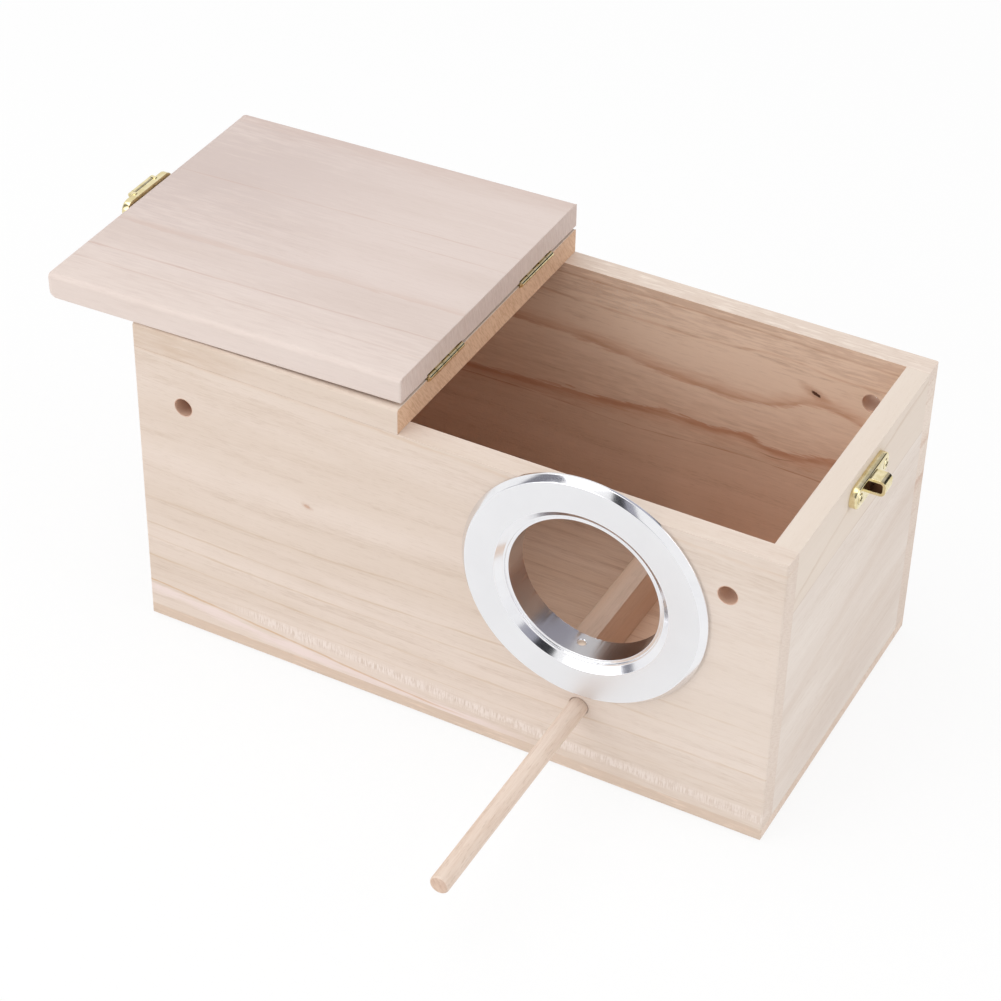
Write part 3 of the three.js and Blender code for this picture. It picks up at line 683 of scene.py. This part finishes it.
def makeBoard(name, shape):
    board = roundedBlock(name, shape)
    hinge = Matrix.Translation((hingeFrame["x"] * mm, 0, hingeFrame["z"] * mm))
    if shape["hinged"]:
        hinge = hinge @ Matrix.Rotation(math.radians(hingeFrame["restTurn"]), 4, "Y")
        skew(board, shape)
        board.data.transform(hinge)
    beds, grooves = bmesh.new(), bmesh.new()
    for y in hingeFrame["centres"]:
        addBed(beds, y, shape["side"])
        addGroove(grooves, y)
    for cut in (beds, grooves):
        bmesh.ops.transform(cut, matrix=hinge, verts=cut.verts)
        cutAway(board, cut)
    board.data.materials.clear()
    board.data.materials.append(bpy.data.materials[shape["finish"]])
    board.data.shade_smooth()
    board.data.set_sharp_from_angle(angle=math.radians(boardSharp))
    board.modifiers.new("even", "WEIGHTED_NORMAL").keep_sharp = True
    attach(board, shape["body"])
    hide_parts(shape["node"])
    print("made", name, len(board.data.polygons), "faces")


for name, (label, look) in boards.items():
    dress(name, timber(label, look))
    if name not in ("lid", "fixed_top"):
        soften(name, softEdges["board"])
for name, shape in topBoards.items():
    makeBoard(name, shape)
print("boards dressed:", len(boards))


lineDepth = 0.02  # mm: the depth of the turned or polished lines


def metal(name, look):
    made, tree = newMaterial(name)
    spot = inMm(tree, add(tree, "TexCoord").outputs["Object"])
    wear = useGroup(tree, metalWear, {
        "Place": spot, "Line Width": look["lineWidth"], "Cloud Size": look["cloudSize"]})
    colour = tint(tree, smooth(tree, wear["Cloud"], 0.3, 0.7), look["light"], look["shade"])
    rough = calc(tree, "ADD", times(tree, wear["Cloud"], look["roughRange"]), look["rough"])
    if "hollow" in look:  # the brass inside the keeper's hump is darker brown and rougher
        low, high = (Vector(corner) for corner in look["hollow"])
        middle, half = (low + high) / 2, (high - low) / 2
        off = vectorCalc(tree, "DIVIDE", vectorCalc(tree, "SUBTRACT", spot, middle), half)
        far = split(tree, vectorCalc(tree, "ABSOLUTE", off))
        most = calc(tree, "MAXIMUM", calc(tree, "MAXIMUM", far["X"], far["Y"]), far["Z"])
        within = calc(tree, "LESS_THAN", most, 1.0)
        colour = tint(tree, within, colour, look["hollowColour"])
        rough = calc(tree, "MAXIMUM", rough, times(tree, within, look["hollowRough"]))
    bump = add(tree, "Bump", {"Strength": look["bump"], "Distance": lineDepth * mm, "Height": wear["Lines"]})
    finish(tree, add(tree, "BsdfPrincipled", {
        "Base Color": colour, "Metallic": 1.0, "Roughness": rough, "Normal": bump.outputs[0]}))
    return made


satinLook = {
    "light": paint(236, 236, 238), "shade": paint(233, 233, 235), "rough": 0.42, "roughRange": 0.04,
    "lineWidth": 0.3, "cloudSize": 30.0, "bump": 0.06,
}
polishedLook = {
    "light": paint(240, 240, 242), "shade": paint(236, 236, 239), "rough": 0.1, "roughRange": 0.05,
    "lineWidth": 0.45, "cloudSize": 12.0, "bump": 0.1,
}
# the bore's darker grey is partly its duller bored finish and partly painted shade inside the tube
boredLook = {
    "light": paint(192, 190, 192), "shade": paint(184, 182, 184), "rough": 0.24, "roughRange": 0.05,
    "lineWidth": 0.35, "cloudSize": 14.0, "bump": 0.12,
}
brassLook = {
    "light": paint(240, 228, 188), "shade": paint(222, 206, 156), "rough": 0.11, "roughRange": 0.1,
    "lineWidth": 0.5, "cloudSize": 4.0, "bump": 0.04,
    "hollow": ((153.3, -3.7, 134.3), (159.0, 3.7, 139.3)), "hollowColour": paint(120, 84, 58),
    "hollowRough": 0.55,
}
satin, polished = metal("satinAluminium", satinLook), metal("polishedAluminium", polishedLook)
bored, brass = metal("boredAluminium", boredLook), metal("brassPlating", brassLook)

brassNodes = [name for name in nodes if name.startswith(("hinge_", "keeper_", "hasp_"))]
for name in brassNodes:
    dress(name, brass)
    soften(name, softEdges["plate" if name in ("keeper_plate", "hasp_plate") else "small"])
print("brass parts dressed:", len(brassNodes))


# The entrance ring, turned from the same profile as its node but with its edges just broken. Sizes in mm
ringShape = {
    "centre": (64.4, 0, 100.7), "sides": 288, "bore": 34.1, "wall": 1.2, "wallFace": -79.0, "front": -82.8,
    "tubeEnd": -67.0, "lipWidth": 1.5, "lipDepth": 3.0, "stepWidth": 0.8, "stepDepth": 2.2, "faceInner": 39.4,
    "rim": 55.5, "rimBevel": 2.4, "rimHeight": 1.2, "edge": 0.22, "edgeSteps": 4, "burr": 0.3, "sharp": 35,
}
# The hole across its tube. The drill's shank widens towards the bore, which breaks the hole's edge
crossHole = {"radius": 1.8, "rim": 0.45, "flare": (0.3, 1.6), "y": -72.4, "turn": 5, "reach": 4, "sides": 48}


# A closed outline with each corner rounded, by less than half of its shorter side
def rounded(points, radius, steps):
    path, marks = [], []
    count = len(points)
    for i, (corner, kind) in enumerate(points):
        before, after = Vector(points[i - 1][0]), Vector(points[(i + 1) % count][0])
        here = Vector(corner)
        reach = min(radius, (before - here).length * 0.4, (after - here).length * 0.4)
        start = here + (before - here).normalized() * reach
        end = here + (after - here).normalized() * reach
        for step in range(steps + 1):
            t = step / steps
            path.append((start * (1 - t) ** 2 + here * (2 * t * (1 - t)) + end * t ** 2).to_tuple())
            marks.append(kind)
    return path, marks


def circle(work, radius, z, sides):
    made = []
    for i in range(sides):
        turn = 2 * math.pi * i / sides
        made.append(work.verts.new((radius * math.cos(turn) * mm, radius * math.sin(turn) * mm, z * mm)))
    return made


def makeDrill(shape):
    drill = bmesh.new()
    radius, rim, sides = shape["radius"], shape["rim"], shape["sides"]
    inner, outer = (rim * share for share in shape["flare"])
    profile = [(radius, -shape["reach"]), (radius, -rim), (radius + inner, -inner), (radius + outer, rim)]
    rings = [circle(drill, wide, z, sides) for wide, z in profile]
    for lower, upper in zip(rings, rings[1:]):
        for i in range(sides):
            drill.faces.new((lower[i], lower[(i + 1) % sides], upper[(i + 1) % sides], upper[i]))
    drill.faces.new(rings[0][::-1])
    drill.faces.new(rings[-1])
    return drill


def makeRing(shape, hole):
    outer, lip = shape["bore"] + shape["wall"], shape["bore"] + shape["lipWidth"]
    step, front, face = lip + shape["stepWidth"], shape["front"], shape["wallFace"]
    # Each corner, and the finish of the surface after it: polished 0, satin 1, bored 2, parted off 3
    corners = [
        ((shape["bore"], shape["tubeEnd"]), 2), ((shape["bore"], front + shape["lipDepth"]), 0),
        ((lip, front + shape["lipDepth"]), 0), ((lip, front + shape["stepDepth"]), 0),
        ((step, front + shape["stepDepth"]), 0), ((shape["faceInner"], front), 1),
        ((shape["rim"] - shape["rimBevel"], front), 0), ((shape["rim"], face - shape["rimHeight"]), 0),
        ((shape["rim"], face), 0), ((outer, face), 0), ((outer, shape["tubeEnd"]), 3),
    ]
    path, marks = rounded(corners, shape["edge"], shape["edgeSteps"])
    raggedFrom = shape["tubeEnd"] - shape["burr"]  # the parted end of the tube
    work = bmesh.new()
    rows = []
    for i in range(shape["sides"]):
        turn = 2 * math.pi * i / shape["sides"]
        row = []
        for k, (radius, y) in enumerate(path):
            if y > raggedFrom:
                chance = math.sin(i * 12.9898 + k * 78.233) * 43758.5453 % 1  # a fixed draw from 0 to 1
                y -= shape["burr"] * chance
            row.append(work.verts.new((radius * math.cos(turn) * mm, y * mm, radius * math.sin(turn) * mm)))
        rows.append(row)
    count = len(path)
    for i, row in enumerate(rows):
        following = rows[(i + 1) % len(rows)]
        for k in range(count):
            after = (k + 1) % count
            made = work.faces.new((row[k], row[after], following[after], following[k]))
            made.smooth = marks[k] != 3 and path[k][1] <= raggedFrom
            betweenCorners = (k + 1) % (shape["edgeSteps"] + 1) == 0
            made.material_index = marks[k] % 3 if betweenCorners else 0
    bmesh.ops.recalc_face_normals(work, faces=work.faces)
    ring = newObject("entranceRing", newMesh("entranceRing", work))
    for material in (polished, satin, bored):
        ring.data.materials.append(material)
    ring.location = Vector(shape["centre"]) * mm
    drill = makeDrill(hole)
    spot = Matrix.Rotation(math.radians(hole["turn"]), 4, "Y")
    spot = spot @ Matrix.Translation((0, hole["y"] * mm, -shape["bore"] * mm))
    bmesh.ops.transform(drill, matrix=Matrix.Translation(ring.location) @ spot, verts=drill.verts)
    cutAway(ring, drill)
    ring.data.set_sharp_from_angle(angle=math.radians(shape["sharp"]))
    return ring


ring = makeRing(ringShape, crossHole)
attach(ring, "box")
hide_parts("entrance_ring")
print("entrance ring made:", len(ring.data.polygons), "faces")


# Where the photo was taken from: degrees round the box, above it and of roll, the lens's place in mm,
# its focal length in pixels, the frame's width in pixels and the sensor's in mm
view = {
    "azimuth": 27.4362, "elevation": 37.6162, "roll": 1.3273, "eye": (433.82, -865.27, 813.80),
    "focal": 2792.587, "frame": 1001, "sensor": 36.0, "clip": (0.01, 50),
}


def makeCamera(look):
    a, e, r = (math.radians(look[key]) for key in ("azimuth", "elevation", "roll"))
    back = Vector((math.sin(a) * math.cos(e), -math.cos(a) * math.cos(e), math.sin(e)))
    right = (-back).cross(Vector((0, 0, 1))).normalized()
    up = right.cross(-back)
    across = right * math.cos(r) + up * math.sin(r)
    above = up * math.cos(r) - right * math.sin(r)
    data = bpy.data.cameras.new("photoCamera")
    data.sensor_width = look["sensor"]
    data.lens = look["focal"] / look["frame"] * look["sensor"]
    data.clip_start, data.clip_end = look["clip"]
    camera = newObject("photoCamera", data)
    turn = Matrix((across, above, back)).transposed().to_4x4()
    camera.matrix_world = Matrix.Translation(Vector(look["eye"]) * mm) @ turn
    bpy.context.scene.camera = camera


# The floor's size and drop in m, its faces to a side, its grey, how much of its shading shows, the sky
studio = {
    "floorSize": 12.0, "floorDrop": 0.0002, "floorCuts": 8, "floorGrey": 0.92, "floorShare": 0.15,
    "sky": 0.68,
}


def seenRays(tree):  # 1 for the rays that see the studio as plain white: the camera's and reflected ones
    rays = add(tree, "LightPath").outputs
    bounced = calc(tree, "MAXIMUM", rays["Is Glossy Ray"], rays["Is Transmission Ray"])
    return calc(tree, "MAXIMUM", rays["Is Camera Ray"], bounced)


def makeFloor(look):
    work = bmesh.new()
    cuts, grey = look["floorCuts"], look["floorGrey"]
    bmesh.ops.create_grid(work, x_segments=cuts, y_segments=cuts, size=look["floorSize"] / 2)
    floor = newObject("studioFloor", newMesh("studioFloor", work))
    floor.location.z = -look["floorDrop"]
    made, tree = newMaterial("studioFloor")
    lit = add(tree, "BsdfDiffuse", {"Color": (grey, grey, grey, 1)}).outputs[0]
    glow = add(tree, "Emission", {"Color": (1, 1, 1, 1), "Strength": 1.0}).outputs[0]
    share = times(tree, seenRays(tree), 1 - look["floorShare"])
    finish(tree, add(tree, "MixShader", {0: share, 1: lit, 2: glow}))
    floor.data.materials.append(made)


def makeWorld(look):
    world = bpy.data.worlds.new("studio")
    bpy.context.scene.world = world
    world.use_nodes = True
    tree = world.node_tree
    tree.nodes.clear()
    even = add(tree, "Background", {"Color": (1, 1, 1, 1), "Strength": look["sky"]}).outputs[0]
    white = add(tree, "Background", {"Color": (1, 1, 1, 1), "Strength": 1.0}).outputs[0]
    finish(tree, add(tree, "MixShader", {0: seenRays(tree), 1: even, 2: white}), "World")


# Dark cards round the box. Only reflections see them: they give the metal its dark lines
flagShape = {"distance": 3.0, "centre": 0.1, "rows": 8, "columns": 4, "blue": 1.15}  # m, m, faces, faces
flags = {  # turned from the front (degrees), from and to this height (degrees), width (degrees), shade
    "narrowFlag": {"turn": 7, "heights": (6, 62), "width": 14, "shade": 0.03},
    "paleFlag": {"turn": 19, "heights": (6, 62), "width": 11, "shade": 0.36},
    "leftFlag": {"turn": -57, "heights": (-12, 46), "width": 22, "shade": 0.22},
    "backFlag": {"turn": 138, "heights": (4, 32), "width": 50, "shade": 0.03},
    "backVeil": {"turn": 150, "heights": (32, 62), "width": 75, "shade": 0.5},
}


def makeFlag(name, flag, shape):
    low, high = (math.radians(angle) for angle in flag["heights"])
    half, turn = math.radians(flag["width"] / 2), math.radians(flag["turn"])
    rows, columns, distance = shape["rows"], shape["columns"], shape["distance"]
    work = bmesh.new()
    grid = []
    for i in range(rows + 1):
        height = low + (high - low) * i / rows
        flat, z = distance * math.cos(height), distance * math.sin(height) + shape["centre"]
        sides = [turn + half * (2 * k / columns - 1) for k in range(columns + 1)]
        grid.append([work.verts.new((flat * math.sin(side), -flat * math.cos(side), z)) for side in sides])
    for lower, upper in zip(grid, grid[1:]):
        for k in range(columns):
            work.faces.new((lower[k], lower[k + 1], upper[k + 1], upper[k]))
    card = newObject(name, newMesh(name, work))
    made, tree = newMaterial(name)
    shade = flag["shade"]
    finish(tree, add(tree, "Emission", {"Color": (shade, shade, shade * shape["blue"], 1), "Strength": 1.0}))
    card.data.materials.append(made)
    card.visible_camera = card.visible_diffuse = card.visible_shadow = card.visible_transmission = False


lampAim = (0, 0, 0.08)
lamps = {
    "topSoftbox": {"at": (-0.5, -0.3, 1.7), "size": 1.6, "power": 11},
    "frontSoftbox": {"at": (-0.9, -1.6, 0.7), "size": 1.3, "power": 8},
    "sideSoftbox": {"at": (1.7, 0.1, 0.9), "size": 1.2, "power": 6.5},
}


def makeLamp(name, lamp):
    data = bpy.data.lights.new(name, "AREA")
    data.shape, data.size, data.energy = "SQUARE", lamp["size"], lamp["power"]
    body = newObject(name, data)
    body.location = lamp["at"]
    body.rotation_euler = (Vector(lampAim) - body.location).to_track_quat("-Z", "Y").to_euler()


makeCamera(view)
makeFloor(studio)
makeWorld(studio)
for name, flag in flags.items():
    makeFlag(name, flag, flagShape)
for name, lamp in lamps.items():
    makeLamp(name, lamp)
bpy.context.scene.view_settings.view_transform = "Standard"
print("studio made:", len(flags), "flags and", len(lamps), "lamps")
